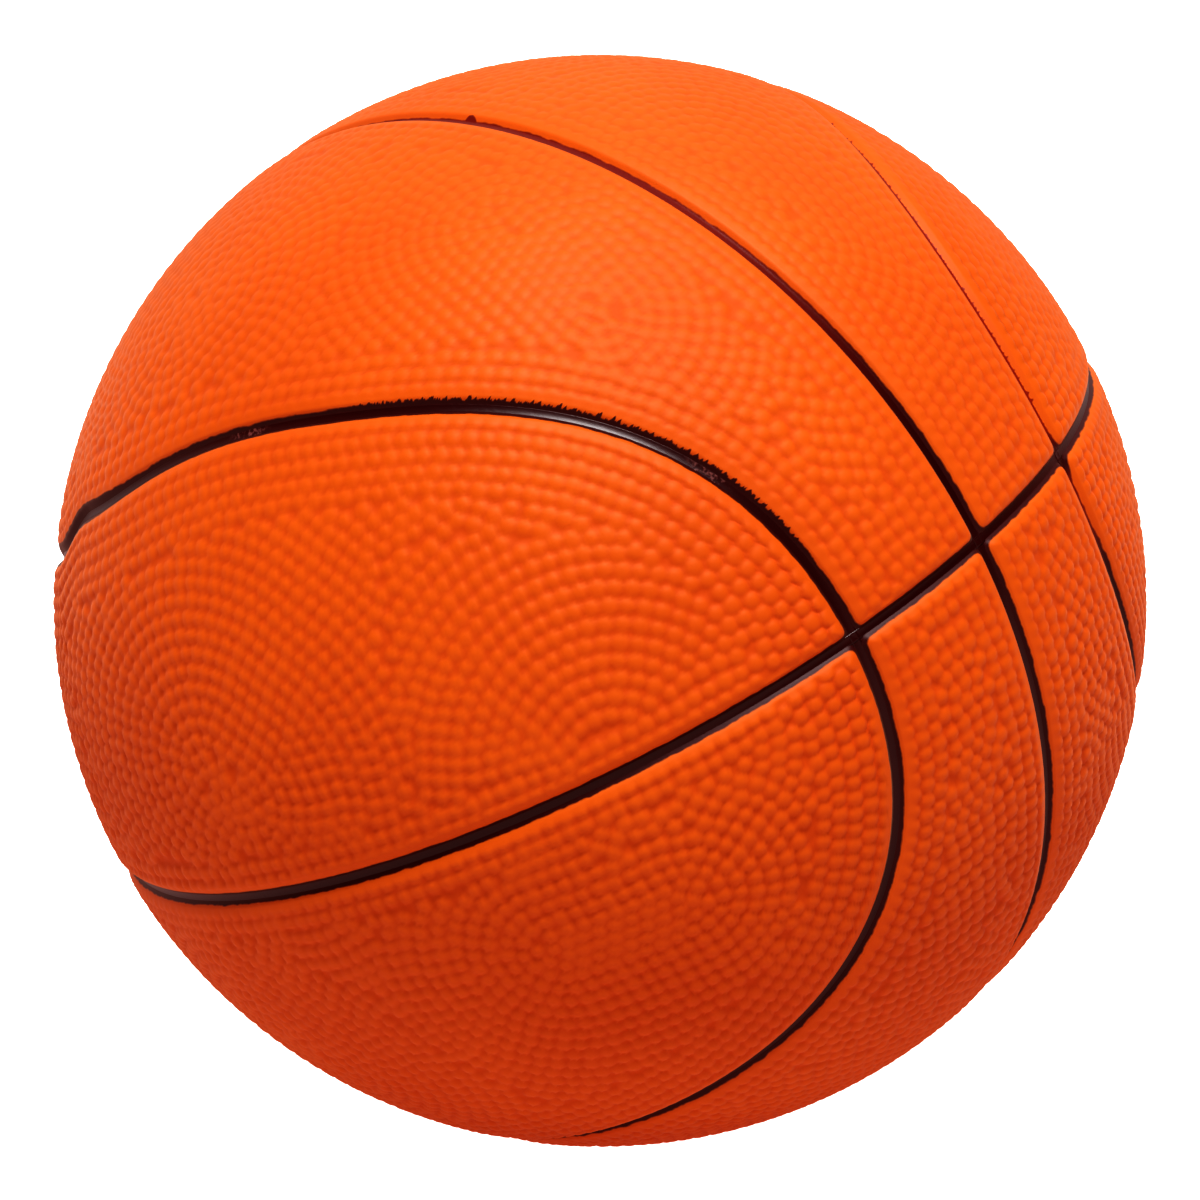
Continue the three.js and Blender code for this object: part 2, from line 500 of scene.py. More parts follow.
class Panel:
    """One pebbled panel of the cover, from channel to channel, as a closed skin."""

    def __init__(self, form: BallForm, side: Side, half: Half, seed: int) -> None:
        """Keeps the panel's place on the ball and the seed of its pebbles."""
        self.form = form
        self.side = side
        self.half = half
        self.grid = PanelGrid()
        self.sizes = PebbleSizes()
        self.valve = ValveForm()
        self.flaws = PaintFlaws(form)
        self.layout = PebbleLayout(form, self.sizes, seed)

    # Each kind of panel gives these five.

    def name(self) -> str:
        """The piece's name."""
        raise NotImplementedError

    def directions(self) -> np.ndarray:
        """A grid of directions over the panel, rows across and columns along."""
        raise NotImplementedError

    def edge_distances(self, points: np.ndarray) -> list[np.ndarray]:
        """Distances to the lines of the channels round the panel, in metres, positive on the panel."""
        raise NotImplementedError

    def full_from(self) -> tuple[float, ...]:
        """Distances from the same lines at which the pebbles reach their full height."""
        raise NotImplementedError

    def edge_rows(self) -> list[np.ndarray]:
        """Lines of directions that the rows of pebbles near the panel's edges follow."""
        raise NotImplementedError

    def equator_distance(self, points: np.ndarray) -> np.ndarray:
        """Distance from the equator channel's line: the arc whose sine is the height over its plane."""
        return np.arcsin(np.clip(self.half.value * points[..., 2], -1, 1)) * self.form.radius

    def channel_distance(self, points: np.ndarray) -> np.ndarray:
        """The least distance to a channel's line, blended near a corner so that the corner is round."""
        blend = self.grid.corner_blend
        edges = self.edge_distances(points)
        nearest = edges[0]
        for other in edges[1:]:
            overlap = np.clip(1.0 - np.abs(nearest - other) / blend, 0.0, None)
            nearest = np.minimum(nearest, other) - 0.25 * blend * overlap**2
        return nearest

    def spread(self, height: np.ndarray, low_stretch: np.ndarray, high_stretch: np.ndarray) -> np.ndarray:
        """Row places from 0 to height: close rows at each end, even ones between.

        The close rows' offsets are multiplied by each end's stretch, and shrink where the height is
        too small for them.

        Args:
            height: Length of each column, in metres.
            low_stretch: Factor on the offsets at the low end of each column.
            high_stretch: The same at the high end.

        Returns:
            An array of columns by rows, in metres.
        """
        offsets = np.array(self.grid.edge_offsets) * MM
        low = offsets * low_stretch[:, None]
        high = offsets * high_stretch[:, None]
        fit = np.minimum(1.0, 0.8 * height / (low[:, -1] + high[:, -1]))[:, None]
        low, high = low * fit, high * fit
        middle = max(int((height.max() - 2 * offsets[-1]) / self.grid.cell), 3)
        share = np.linspace(0.0, 1.0, middle + 1)[1:-1]
        start, end = low[:, -1:], height[:, None] - high[:, -1:]
        return np.concatenate(
            [low, start + (end - start) * share, height[:, None] - high[:, ::-1]], axis=1
        )

    def has_room(self, points: np.ndarray) -> np.ndarray:
        """Whether each point is far enough from every channel and the valve for a pebble."""
        clear = np.min(self.edge_distances(points), axis=0) > self.sizes.nearest_row
        return clear & (self.valve.distance(self.form, points) > self.valve.bare_radius)

    def pebble_centres(self) -> np.ndarray:
        """Directions of this panel's pebbles."""
        rows = self.layout.rows_along(self.edge_rows())
        points = np.concatenate([rows[self.has_room(rows)], self.layout.fill(self.has_room)])
        points = self.layout.fill_holes(self.layout.thin_out(points), self.has_room)
        return self.layout.settle(points)

    def fade(self, points: np.ndarray) -> np.ndarray:
        """Share of their full height that the pebbles have: the least of an eased rise from each edge."""
        rises = [
            smooth_step(distance, self.sizes.fade_from, full)
            for distance, full in zip(self.edge_distances(points), self.full_from(), strict=True)
        ]
        return np.min(rises, axis=0)

    def relief(self, points: np.ndarray) -> np.ndarray:
        """Share of the pebbles' height: most at the bottom, and an eased step down to the top."""
        up = self.form.to_frame(points)[:, 2]
        return self.sizes.most_relief - self.sizes.worn * smooth_step(up, -0.1, 0.8)

    def row_distance(self, row: int) -> float:
        """Angle between a channel's line and a row of pebbles beside it."""
        return (self.sizes.first_row + row * self.sizes.row_gap) / self.form.radius

    def domes(self, points: np.ndarray, centres: np.ndarray) -> np.ndarray:
        """Height of the pebbles as a share: 1 less a power of the distance over the dome's radius.

        Domes that touch meet in a crease, because each point follows the nearest one. The distance
        over the radius is held under a share a little below 1, so a gap between domes isn't deep.

        Args:
            points: Directions, one a row.
            centres: Directions of the pebbles.

        Returns:
            One share for each point.
        """
        size = 1.0 + self.sizes.size_swing * np.sin(np.arange(len(centres)) * 2.4)
        best = np.empty(len(points))
        for part in np.array_split(np.arange(len(points)), 24):
            gap = np.sqrt(np.maximum(2.0 - 2.0 * points[part] @ centres.T, 0.0)) * self.form.radius
            best[part] = (gap / (size * self.sizes.dome_radius)).min(axis=1)
        return 1.0 - np.minimum(best, self.sizes.gap_share) ** self.sizes.roundness

    def build(self, material: bpy.types.Material) -> bpy.types.Object:
        """Makes the panel: the outer grid, a coarser inner one, and a wall that joins their edges."""
        grid = self.directions()
        columns, rows = grid.shape[:2]
        flat = grid.reshape(-1, 3)
        distance = self.channel_distance(flat)
        domes = self.domes(flat, self.pebble_centres())
        fade = self.fade(flat) * self.relief(flat)
        lift = self.form.profile(distance) + domes * fade * self.sizes.height
        valve = self.valve
        seat = 1.0 - smooth_step(valve.distance(self.form, flat), valve.seat_radius - MM, valve.seat_radius)
        outer = flat * (self.form.radius + lift - seat * valve.seat_depth)[:, None]

        pick_columns, pick_rows = self.picked(columns), self.picked(rows)
        under = grid[np.ix_(pick_columns, pick_rows)]
        inner = under.reshape(-1, 3) * (self.form.radius - self.grid.wall)
        points = self.form.to_frame(np.concatenate([outer, inner]))
        inner_faces = grid_faces(len(pick_columns), len(pick_rows), len(outer))[:, ::-1]
        faces = [
            *grid_faces(columns, rows, 0).tolist(),
            *inner_faces.tolist(),
            *wall_faces((columns, rows), (pick_columns, pick_rows), len(outer)).tolist(),
        ]
        piece = make_piece(self.name(), points, faces, material)
        rest = np.zeros(len(inner))
        numbers = {
            "channel_distance": (distance - self.flaws.extra_width(flat)) / MM,
            "creep": self.flaws.creep(self.side, flat) / MM,
            "along": self.form.turn_of(flat) * self.form.radius / MM,
            "thin_paint": self.flaws.thin(flat),
            # How far down between the pebbles a point lies: it sets the painted shade there, and the
            # roughness.
            "valley_shade": fade * (1.0 - domes),
        }
        for label, values in numbers.items():
            add_attribute(piece, label, np.concatenate([values, rest]))
        return piece

    def facing_out(self, grid: np.ndarray) -> np.ndarray:
        """The grid, with its columns turned round where its faces would point inwards."""
        return grid if self.side.value * self.half.value < 0 else grid[::-1]

    def picked(self, count: int) -> np.ndarray:
        """Every few of a count of grid lines, the first and last among them."""
        return np.unique(np.linspace(0, count - 1, count // self.grid.under_step).round().astype(int))


class EndPanel(Panel):
    """A panel inside a rib's loop: a half disc between the equator channel and the rib."""

    def name(self) -> str:
        """The piece's name."""
        return f"cover_{self.side.name.lower()}_end_{self.half.name.lower()}"

    def edge_distances(self, points: np.ndarray) -> list[np.ndarray]:
        """Distances to the equator channel and to the rib."""
        return [self.equator_distance(points), -self.form.rib_distance(self.side, points)]

    def full_from(self) -> tuple[float, ...]:
        """The pebbles rise quickly from the equator channel and more slowly from the rib."""
        return 4.0 * MM, 4.5 * MM

    def edge_rows(self) -> list[np.ndarray]:
        """Five rows beside the rib, then two beside the equator channel."""
        turn = np.linspace(0.0, math.pi, 400)
        lines = [self.rib_edge(turn, self.row_distance(row)) for row in range(5)]
        along = np.linspace(-1.3, 1.3, 400)
        for row in range(2):
            level = np.full(len(along), math.tan(self.half.value * self.row_distance(row)))
            lines.append(np.stack([self.side.value * np.cos(along), np.sin(along), level], axis=1))
        return [unit(line) for line in lines]

    def rib_edge(self, turn: np.ndarray, off: float) -> np.ndarray:
        """The line of directions that runs inside the rib's line, off by an angle."""
        signed = self.half.value * turn
        angle = self.form.rib_angle(self.side, signed) - off / self.form.rib_slant(self.side, signed)
        return self.form.place(self.side, angle, signed)

    def directions(self) -> np.ndarray:
        """Columns of constant longitude about z, from the equator channel up to the rib.

        The columns meet the rib at even lengths along it, so they crowd together at the two corners.
        """
        form, start = self.form, self.grid.start_off / self.form.radius
        first = 1.6 * start
        turn = np.linspace(first, math.pi - first, 4000)
        rib = self.rib_edge(turn, start)
        length = np.concatenate(([0.0], np.cumsum(np.linalg.norm(np.diff(rib, axis=0), axis=1))))
        count = int(length[-1] * form.radius / self.grid.cell)
        rib = self.rib_edge(np.interp(np.linspace(0.0, length[-1], count), length, turn), start)
        longitude = np.arctan2(rib[:, 1], rib[:, 0])
        top = np.arcsin(self.half.value * rib[:, 2])
        across = np.gradient(top) / np.hypot(np.gradient(top), np.gradient(longitude) * np.cos(top))
        stretch = 1.0 / np.maximum(np.sqrt(1.0 - across**2), 0.35)
        rows = self.spread((top - start) * form.radius, np.ones(count), stretch) / form.radius
        level = start + rows
        parts = (
            np.cos(level) * np.cos(longitude)[:, None],
            np.cos(level) * np.sin(longitude)[:, None],
            np.sin(level) * self.half.value,
        )
        grid = np.stack(np.broadcast_arrays(*parts), axis=-1)
        return self.facing_out(grid)


class BandPanel(Panel):
    """A panel between a rib and the meridian channel, cut off at both ends by the equator channel."""

    def name(self) -> str:
        """The piece's name."""
        return f"cover_{self.side.name.lower()}_band_{self.half.name.lower()}"

    def edge_distances(self, points: np.ndarray) -> list[np.ndarray]:
        """Distances to the equator channel, to the rib and to the meridian channel."""
        meridian = np.arcsin(np.clip(self.side.value * points[..., 0], -1, 1)) * self.form.radius
        return [self.equator_distance(points), self.form.rib_distance(self.side, points), meridian]

    def full_from(self) -> tuple[float, ...]:
        """The pebbles rise quickly from the equator channel and slowly from the rib's outer side."""
        return 4.0 * MM, 5.0 * MM, 4.8 * MM

    def edge_rows(self) -> list[np.ndarray]:
        """Three rows beside the rib and the meridian channel, then two beside the equator channel."""
        lines = []
        turn = self.half.value * np.linspace(0.0, math.pi, 400)
        for row in range(3):
            off = self.row_distance(row)
            rib = self.form.rib_angle(self.side, turn) + off / self.form.rib_slant(self.side, turn)
            lines.append(self.form.place(self.side, rib, turn))
            lines.append(self.form.place(self.side, np.full(len(turn), math.pi / 2 - off), turn))
        span = np.radians(np.linspace(66, 90, 60))
        for row in range(2):
            off = self.row_distance(row)
            for end in (off, math.pi - off):
                lines.append(self.form.place(self.side, span, np.full(len(span), self.half.value * end)))
        return lines

    def directions(self) -> np.ndarray:
        """Columns of constant turn about x, from the rib's line out to the meridian channel's."""
        form, start = self.form, self.grid.start_off / self.form.radius
        middle = math.radians(80)
        ends = start / math.sin(middle)
        length = np.array([(math.pi - 2 * ends) * form.radius * math.sin(middle)])
        places = self.spread(length, np.ones(1), np.ones(1))[0] / (form.radius * math.sin(middle))
        signed = self.half.value * (ends + places)
        slant = form.rib_slant(self.side, signed)
        low = form.rib_angle(self.side, signed) + start / slant
        high = math.pi / 2 - start
        rows = self.spread((high - low) * form.radius, 1.0 / slant, np.ones(len(low))) / form.radius
        grid = form.place(self.side, low[:, None] + rows, signed[:, None])
        return self.facing_out(grid)


def grid_faces(columns: int, rows: int, first: int) -> np.ndarray:
    """Four-cornered faces of a grid whose points are numbered along the rows, from first on."""
    corner = (np.arange(columns - 1)[:, None] * rows + np.arange(rows - 1)[None, :]).ravel() + first
    return np.stack([corner, corner + rows, corner + rows + 1, corner + 1], axis=1)


def wall_faces(outer: tuple[int, int], picked: tuple[np.ndarray, np.ndarray], first: int) -> np.ndarray:
    """Triangles between the edge of a fine grid and the edge of a coarser one picked from it.

    Each fine edge point is tied to the nearest picked one. A fine step makes one triangle, and a
    second where the picked point changes.

    Args:
        outer: Columns and rows of the fine grid.
        picked: The fine columns and rows that the coarse grid has.
        first: The number of the coarse grid's first point.

    Returns:
        An array of triangles.
    """
    columns, rows = outer
    pick_columns, pick_rows = picked
    by_column = np.abs(np.arange(columns)[:, None] - pick_columns[None, :]).argmin(axis=1)
    by_row = np.abs(np.arange(rows)[:, None] - pick_rows[None, :]).argmin(axis=1)
    fine = np.concatenate(
        [
            np.arange(columns) * rows,
            (columns - 1) * rows + np.arange(rows),
            (np.arange(columns) * rows + rows - 1)[::-1],
            np.arange(rows)[::-1],
        ]
    )
    wide = len(pick_rows)
    coarse = first + np.concatenate(
        [
            by_column * wide,
            (len(pick_columns) - 1) * wide + by_row,
            (by_column * wide + wide - 1)[::-1],
            by_row[::-1],
        ]
    )
    next_fine, next_coarse = np.roll(fine, -1), np.roll(coarse, -1)
    steps = fine != next_fine
    lower = np.stack([next_fine, fine, coarse], axis=1)[steps]
    changes = coarse != next_coarse
    upper = np.stack([next_fine, coarse, next_coarse], axis=1)[changes]
    return np.concatenate([lower, upper])


def make_piece(
    name: str, points: np.ndarray, faces: list[list[int]], material: bpy.types.Material
) -> bpy.types.Object:
    """Makes a smooth-shaded object of a mesh whose place is in its points."""
    mesh = bpy.data.meshes.new(name)
    mesh.from_pydata(points.tolist(), [], faces)
    mesh.polygons.foreach_set("use_smooth", np.ones(len(mesh.polygons), bool))
    mesh.materials.append(material)
    mesh.update()
    piece = bpy.data.objects.new(name, mesh)
    bpy.context.scene.collection.objects.link(piece)
    return piece


def report(piece: bpy.types.Object) -> None:
    """Logs a piece's name and how many faces it has."""
    LOG.info("%s: %d faces", piece.name, len(piece.data.polygons))


def add_attribute(piece: bpy.types.Object, name: str, values: np.ndarray) -> None:
    """Stores one number for each point of a piece."""
    attribute = piece.data.attributes.new(name, "FLOAT", "POINT")
    attribute.data.foreach_set("value", values.astype(np.float32))


@dataclass
class ChannelBed:
    """The floor of one channel: a shallow trough carried along the channel's line."""

    form: BallForm
    name: str
    line: np.ndarray
    half_width: float = 1.0 * MM
    rise: float = 0.1 * MM
    depth: float = 1.2 * MM
    wall: float = 4.0 * MM
    steps_across: int = 6

    def build(self, material: bpy.types.Material) -> bpy.types.Object:
        """Makes the bed as a ring: at each point of the line a section across it, closed below.

        The section's top is a parabola that rises from the middle to the sides. The across direction
        is the line's direction crossed with the way out from the centre.
        """
        out = self.line
        along = unit(np.roll(out, -1, axis=0) - np.roll(out, 1, axis=0))
        across = unit(np.cross(along, out))
        share = np.linspace(-1.0, 1.0, self.steps_across + 1)
        top = self.form.radius - self.depth + self.rise * share**2
        offsets = np.concatenate([share, share[::-1]]) * self.half_width
        heights = np.concatenate([top, np.full(len(share), self.form.radius - self.wall)])
        points = out[:, None] * heights[None, :, None] + across[:, None] * offsets[None, :, None]
        count, around = points.shape[:2]
        ring = np.arange(count)[:, None] * around
        after = (np.arange(1, count + 1) % count)[:, None] * around
        number = np.arange(around)[None, :]
        following = (number + 1) % around
        faces = np.stack(
            [ring + number, ring + following, after + following, after + number], axis=-1
        ).reshape(-1, 4)
        flat = self.form.to_frame(points.reshape(-1, 3))
        piece = make_piece(self.name, flat, faces.tolist(), material)
        flaws = PaintFlaws(self.form)
        add_attribute(piece, "thin_paint", np.repeat(flaws.thin(out), around))
        add_attribute(piece, "speck", np.repeat(flaws.specks(out), around))
        return piece


@dataclass(frozen=True)
class CoverRubber:
    """The moulded rubber of the cover: orange, with painted shade making it deeper between the pebbles, and
    painted at the channels.
    """

    name: str = "cover_rubber"
    light: tuple[float, float, float, float] = (0.81, 0.196, 0.006, 1.0)
    deep: tuple[float, float, float, float] = (0.76, 0.168, 0.004, 1.0)
    # Colour of the painted shade in the valleys between the pebbles.
    valley_shade: tuple[float, float, float, float] = (0.62, 0.085, 0.001, 1.0)
    valley_shade_share: float = 0.45
    paint: tuple[float, float, float, float] = (0.065, 0.002, 0.003, 1.0)
    thin: tuple[float, float, float, float] = (0.34, 0.016, 0.001, 1.0)
    paint_edge: float = 1.5
    sheen: float = 0.28
    sheen_rough: float = 0.4
    sheen_tint: tuple[float, float, float, float] = (1.0, 0.7, 0.5, 1.0)
    top_rough: float = 0.6
    valley_rough: float = 0.72
    paint_rough: float = 0.5
    specular: float = 0.5

    def material(self) -> bpy.types.Material:
        """Builds the material: mottled orange, painted shade between the pebbles, fine grain, and ragged
        paint beside the channels.
        """
        material, nodes = new_material(self.name)
        surface = nodes.principled
        surface.inputs["Specular IOR Level"].default_value = self.specular
        surface.inputs["Sheen Weight"].default_value = self.sheen
        surface.inputs["Sheen Roughness"].default_value = self.sheen_rough
        surface.inputs["Sheen Tint"].default_value = self.sheen_tint

        place = nodes.add("ShaderNodeTexCoord").outputs["Object"]
        valley_shade = nodes.attribute("valley_shade")
        orange = nodes.mix_colour(nodes.noise(place, scale=24.0, detail=3.0), self.light, self.deep)
        # Painted shade: a darker, redder orange laid over the valleys between the pebbles, stronger where
        # the pebbles stand higher, towards the bottom of the ball.
        share = nodes.map_range(valley_shade, 0.15, 0.75, 0.0, self.valley_shade_share)
        shaded = nodes.lay_over(share, orange, self.valley_shade)
        mask = self.paint_mask(nodes, place)
        paint = nodes.ramp(nodes.attribute("thin_paint"), 0.0, 0.8, self.paint, self.thin)
        nodes.link(nodes.lay_over(mask, shaded, paint), surface.inputs["Base Color"])

        worn = nodes.noise(place, scale=9.0, detail=2.0)
        rough = nodes.map_range(valley_shade, 0.2, 0.9, self.top_rough, self.valley_rough)
        patchy = nodes.maths("ADD", rough, nodes.map_range(worn, 0.35, 0.65, -0.04, 0.04))
        nodes.link(nodes.blend(mask, patchy, self.paint_rough), surface.inputs["Roughness"])

        grain = nodes.noise(place, scale=1500.0, detail=2.0)
        nodes.link(nodes.bump(grain, strength=0.25, depth=0.05 * MM), surface.inputs["Normal"])
        return material

    def paint_mask(self, nodes: "NodeBench", place: bpy.types.NodeSocket) -> bpy.types.NodeSocket:
        """Paint lies nearer a channel's line than an edge that wavers and, where it crept, spikes."""
        distance = nodes.attribute("channel_distance")
        waver = nodes.map_range(nodes.noise(place, scale=330.0, detail=2.0), 0.3, 0.7, -0.14, 0.14)
        bristle = nodes.line_noise(nodes.attribute("along"), scale=1.0)
        bristle = nodes.map_range(bristle, 0.4, 0.8, 0.0, 1.0)
        spikes = nodes.maths("MULTIPLY", nodes.attribute("creep"), bristle)
        edge = nodes.maths("ADD", nodes.maths("ADD", waver, self.paint_edge), spikes)
        depth = nodes.maths("SUBTRACT", edge, distance)
        return nodes.map_range(depth, -0.12, 0.12, 0.0, 1.0)


@dataclass(frozen=True)
class ChannelPaint:
    """The dark paint in a channel, redder where it is thin, with a few pale specks of missed paint."""

    name: str = "channel_paint"
    thick: tuple[float, float, float, float] = (0.048, 0.002, 0.003, 1.0)
    thin: tuple[float, float, float, float] = (0.3, 0.014, 0.001, 1.0)
    speck: tuple[float, float, float, float] = (0.26, 0.11, 0.1, 1.0)
    rough: float = 0.32
    specular: float = 0.6

    def material(self) -> bpy.types.Material:
        """Builds the material from the thin_paint and speck numbers and a fine grain."""
        material, nodes = new_material(self.name)
        surface = nodes.principled
        surface.inputs["Specular IOR Level"].default_value = self.specular
        surface.inputs["Roughness"].default_value = self.rough
        place = nodes.add("ShaderNodeTexCoord").outputs["Object"]
        paint = nodes.ramp(nodes.attribute("thin_paint"), 0.0, 0.8, self.thick, self.thin)
        grain = nodes.noise(place, scale=1200.0, detail=2.0)
        bare = nodes.map_range(grain, 0.5, 0.66, 0.0, 1.0)
        bare = nodes.maths("MULTIPLY", nodes.attribute("speck"), bare)
        nodes.link(nodes.lay_over(bare, paint, self.speck), surface.inputs["Base Color"])
        nodes.link(nodes.bump(grain, strength=0.4, depth=0.05 * MM), surface.inputs["Normal"])
        return material


@dataclass(frozen=True)
class ValveRubber:
    """The plain dark rubber of the valve, with a little mottling and grain."""

    name: str = "valve_rubber"
    light: tuple[float, float, float, float] = (0.014, 0.012, 0.012, 1.0)
    dark: tuple[float, float, float, float] = (0.009, 0.008, 0.008, 1.0)
    rough: float = 0.6
    grain_scale: float = 900.0
    grain_depth: float = 0.06 * MM
    specular: float = 0.4

    def material(self) -> bpy.types.Material:
        """Builds the material from two tones, a roughness and a bump."""
        material, nodes = new_material(self.name)
        surface = nodes.principled
        place = nodes.add("ShaderNodeTexCoord").outputs["Object"]
        grain = nodes.noise(place, scale=self.grain_scale, detail=3.0)
        nodes.link(nodes.mix_colour(grain, self.light, self.dark), surface.inputs["Base Color"])
        surface.inputs["Specular IOR Level"].default_value = self.specular
        rough = nodes.map_range(grain, 0.3, 0.7, self.rough - 0.06, self.rough + 0.06)
        nodes.link(rough, surface.inputs["Roughness"])
        nodes.link(nodes.bump(grain, strength=0.4, depth=self.grain_depth), surface.inputs["Normal"])
        return material


class NodeBench:
    """Short ways to add and join the nodes of one material or world."""

    def __init__(self, tree: bpy.types.NodeTree) -> None:
        """Takes the node tree."""
        self.tree = tree

    @property
    def principled(self) -> bpy.types.Node:
        """The material's own shader."""
        return self.tree.nodes["Principled BSDF"]

    def add(self, kind: str) -> bpy.types.Node:
        """Adds a node of a kind."""
        return self.tree.nodes.new(kind)

    def link(self, start: bpy.types.NodeSocket, end: bpy.types.NodeSocket) -> None:
        """Joins an output to an input."""
        self.tree.links.new(start, end)

    def attribute(self, name: str) -> bpy.types.NodeSocket:
        """The number that a piece's points carry under a name."""
        node = self.add("ShaderNodeAttribute")
        node.attribute_name = name
        return node.outputs["Fac"]

    def noise(self, place: bpy.types.NodeSocket, scale: float, detail: float) -> bpy.types.NodeSocket:
        """Noise in space, from 0 to 1, with scale cells to the metre."""
        node = self.add("ShaderNodeTexNoise")
        node.inputs["Scale"].default_value = scale
        node.inputs["Detail"].default_value = detail
        self.link(place, node.inputs["Vector"])
        return node.outputs["Fac"]

    def line_noise(self, along: bpy.types.NodeSocket, scale: float) -> bpy.types.NodeSocket:
        """Noise along a line, from 0 to 1, with scale cells to each unit of along."""
        node = self.add("ShaderNodeTexNoise")
        node.noise_dimensions = "1D"
        node.inputs["Scale"].default_value = scale
        node.inputs["Detail"].default_value = 2.0
        self.link(along, node.inputs["W"])
        return node.outputs["Fac"]

    def give(self, value: object, end: bpy.types.NodeSocket) -> None:
        """Joins a made value to an input, or sets a plain one there."""
        if isinstance(value, bpy.types.NodeSocket):
            self.link(value, end)
        else:
            end.default_value = value

    def maths(self, operation: str, first: bpy.types.NodeSocket, second: object) -> bpy.types.NodeSocket:
        """The result of an operation on two values, of which the second may be a plain number."""
        node = self.add("ShaderNodeMath")
        node.operation = operation
        self.link(first, node.inputs[0])
        self.give(second, node.inputs[1])
        return node.outputs["Value"]

    def map_range(
        self, value: bpy.types.NodeSocket, low: float, high: float, to_low: float, to_high: float
    ) -> bpy.types.NodeSocket:
        """Maps low to high onto to_low to to_high, and holds the ends."""
        node = self.add("ShaderNodeMapRange")
        self.link(value, node.inputs["Value"])
        numbers = {"From Min": low, "From Max": high, "To Min": to_low, "To Max": to_high}
        for name, number in numbers.items():
            node.inputs[name].default_value = number
        return node.outputs["Result"]

    def mix_colour(
        self, share: bpy.types.NodeSocket, low: tuple[float, ...], high: tuple[float, ...]
    ) -> bpy.types.NodeSocket:
        """A ramp between two colours over the middle of a noise."""
        return self.ramp(share, 0.3, 0.7, low, high)

    def ramp(
        self,
        share: bpy.types.NodeSocket,
        start: float,
        end: float,
        low: tuple[float, ...],
        high: tuple[float, ...],
    ) -> bpy.types.NodeSocket:
        """A colour that goes from low to high as the share goes from start to end."""
        node = self.add("ShaderNodeValToRGB")
        node.color_ramp.elements[0].position = start
        node.color_ramp.elements[1].position = end
        node.color_ramp.elements[0].color = low
        node.color_ramp.elements[1].color = high
        self.link(share, node.inputs["Fac"])
        return node.outputs["Color"]

    def lay_over(self, share: object, under: object, over: object) -> bpy.types.NodeSocket:
        """Lays one colour over another by a share."""
        return self.mix("RGBA", 6, share, under, over).outputs[2]

    def blend(self, share: object, under: object, over: object) -> bpy.types.NodeSocket:
        """Goes from one number to another by a share."""
        return self.mix("FLOAT", 2, share, under, over).outputs[0]

    def mix(self, kind: str, first: int, share: object, under: object, over: object) -> bpy.types.Node:
        """Adds a Mix node of a kind, whose two values are its inputs from the first one on."""
        node = self.add("ShaderNodeMix")
        node.data_type = kind
        self.give(share, node.inputs["Factor"])
        self.give(under, node.inputs[first])
        self.give(over, node.inputs[first + 1])
        return node

    def bump(self, height: bpy.types.NodeSocket, strength: float, depth: float) -> bpy.types.NodeSocket:
        """A bumped normal from a height that goes from 0 to 1 over a depth."""
        node = self.add("ShaderNodeBump")
        node.inputs["Strength"].default_value = strength
        node.inputs["Distance"].default_value = depth
        self.link(height, node.inputs["Height"])
        return node.outputs["Normal"]


def new_material(name: str) -> tuple[bpy.types.Material, NodeBench]:
    """A new material and the bench for its nodes."""
    material = bpy.data.materials.new(name)
    material.use_nodes = True
    return material, NodeBench(material.node_tree)


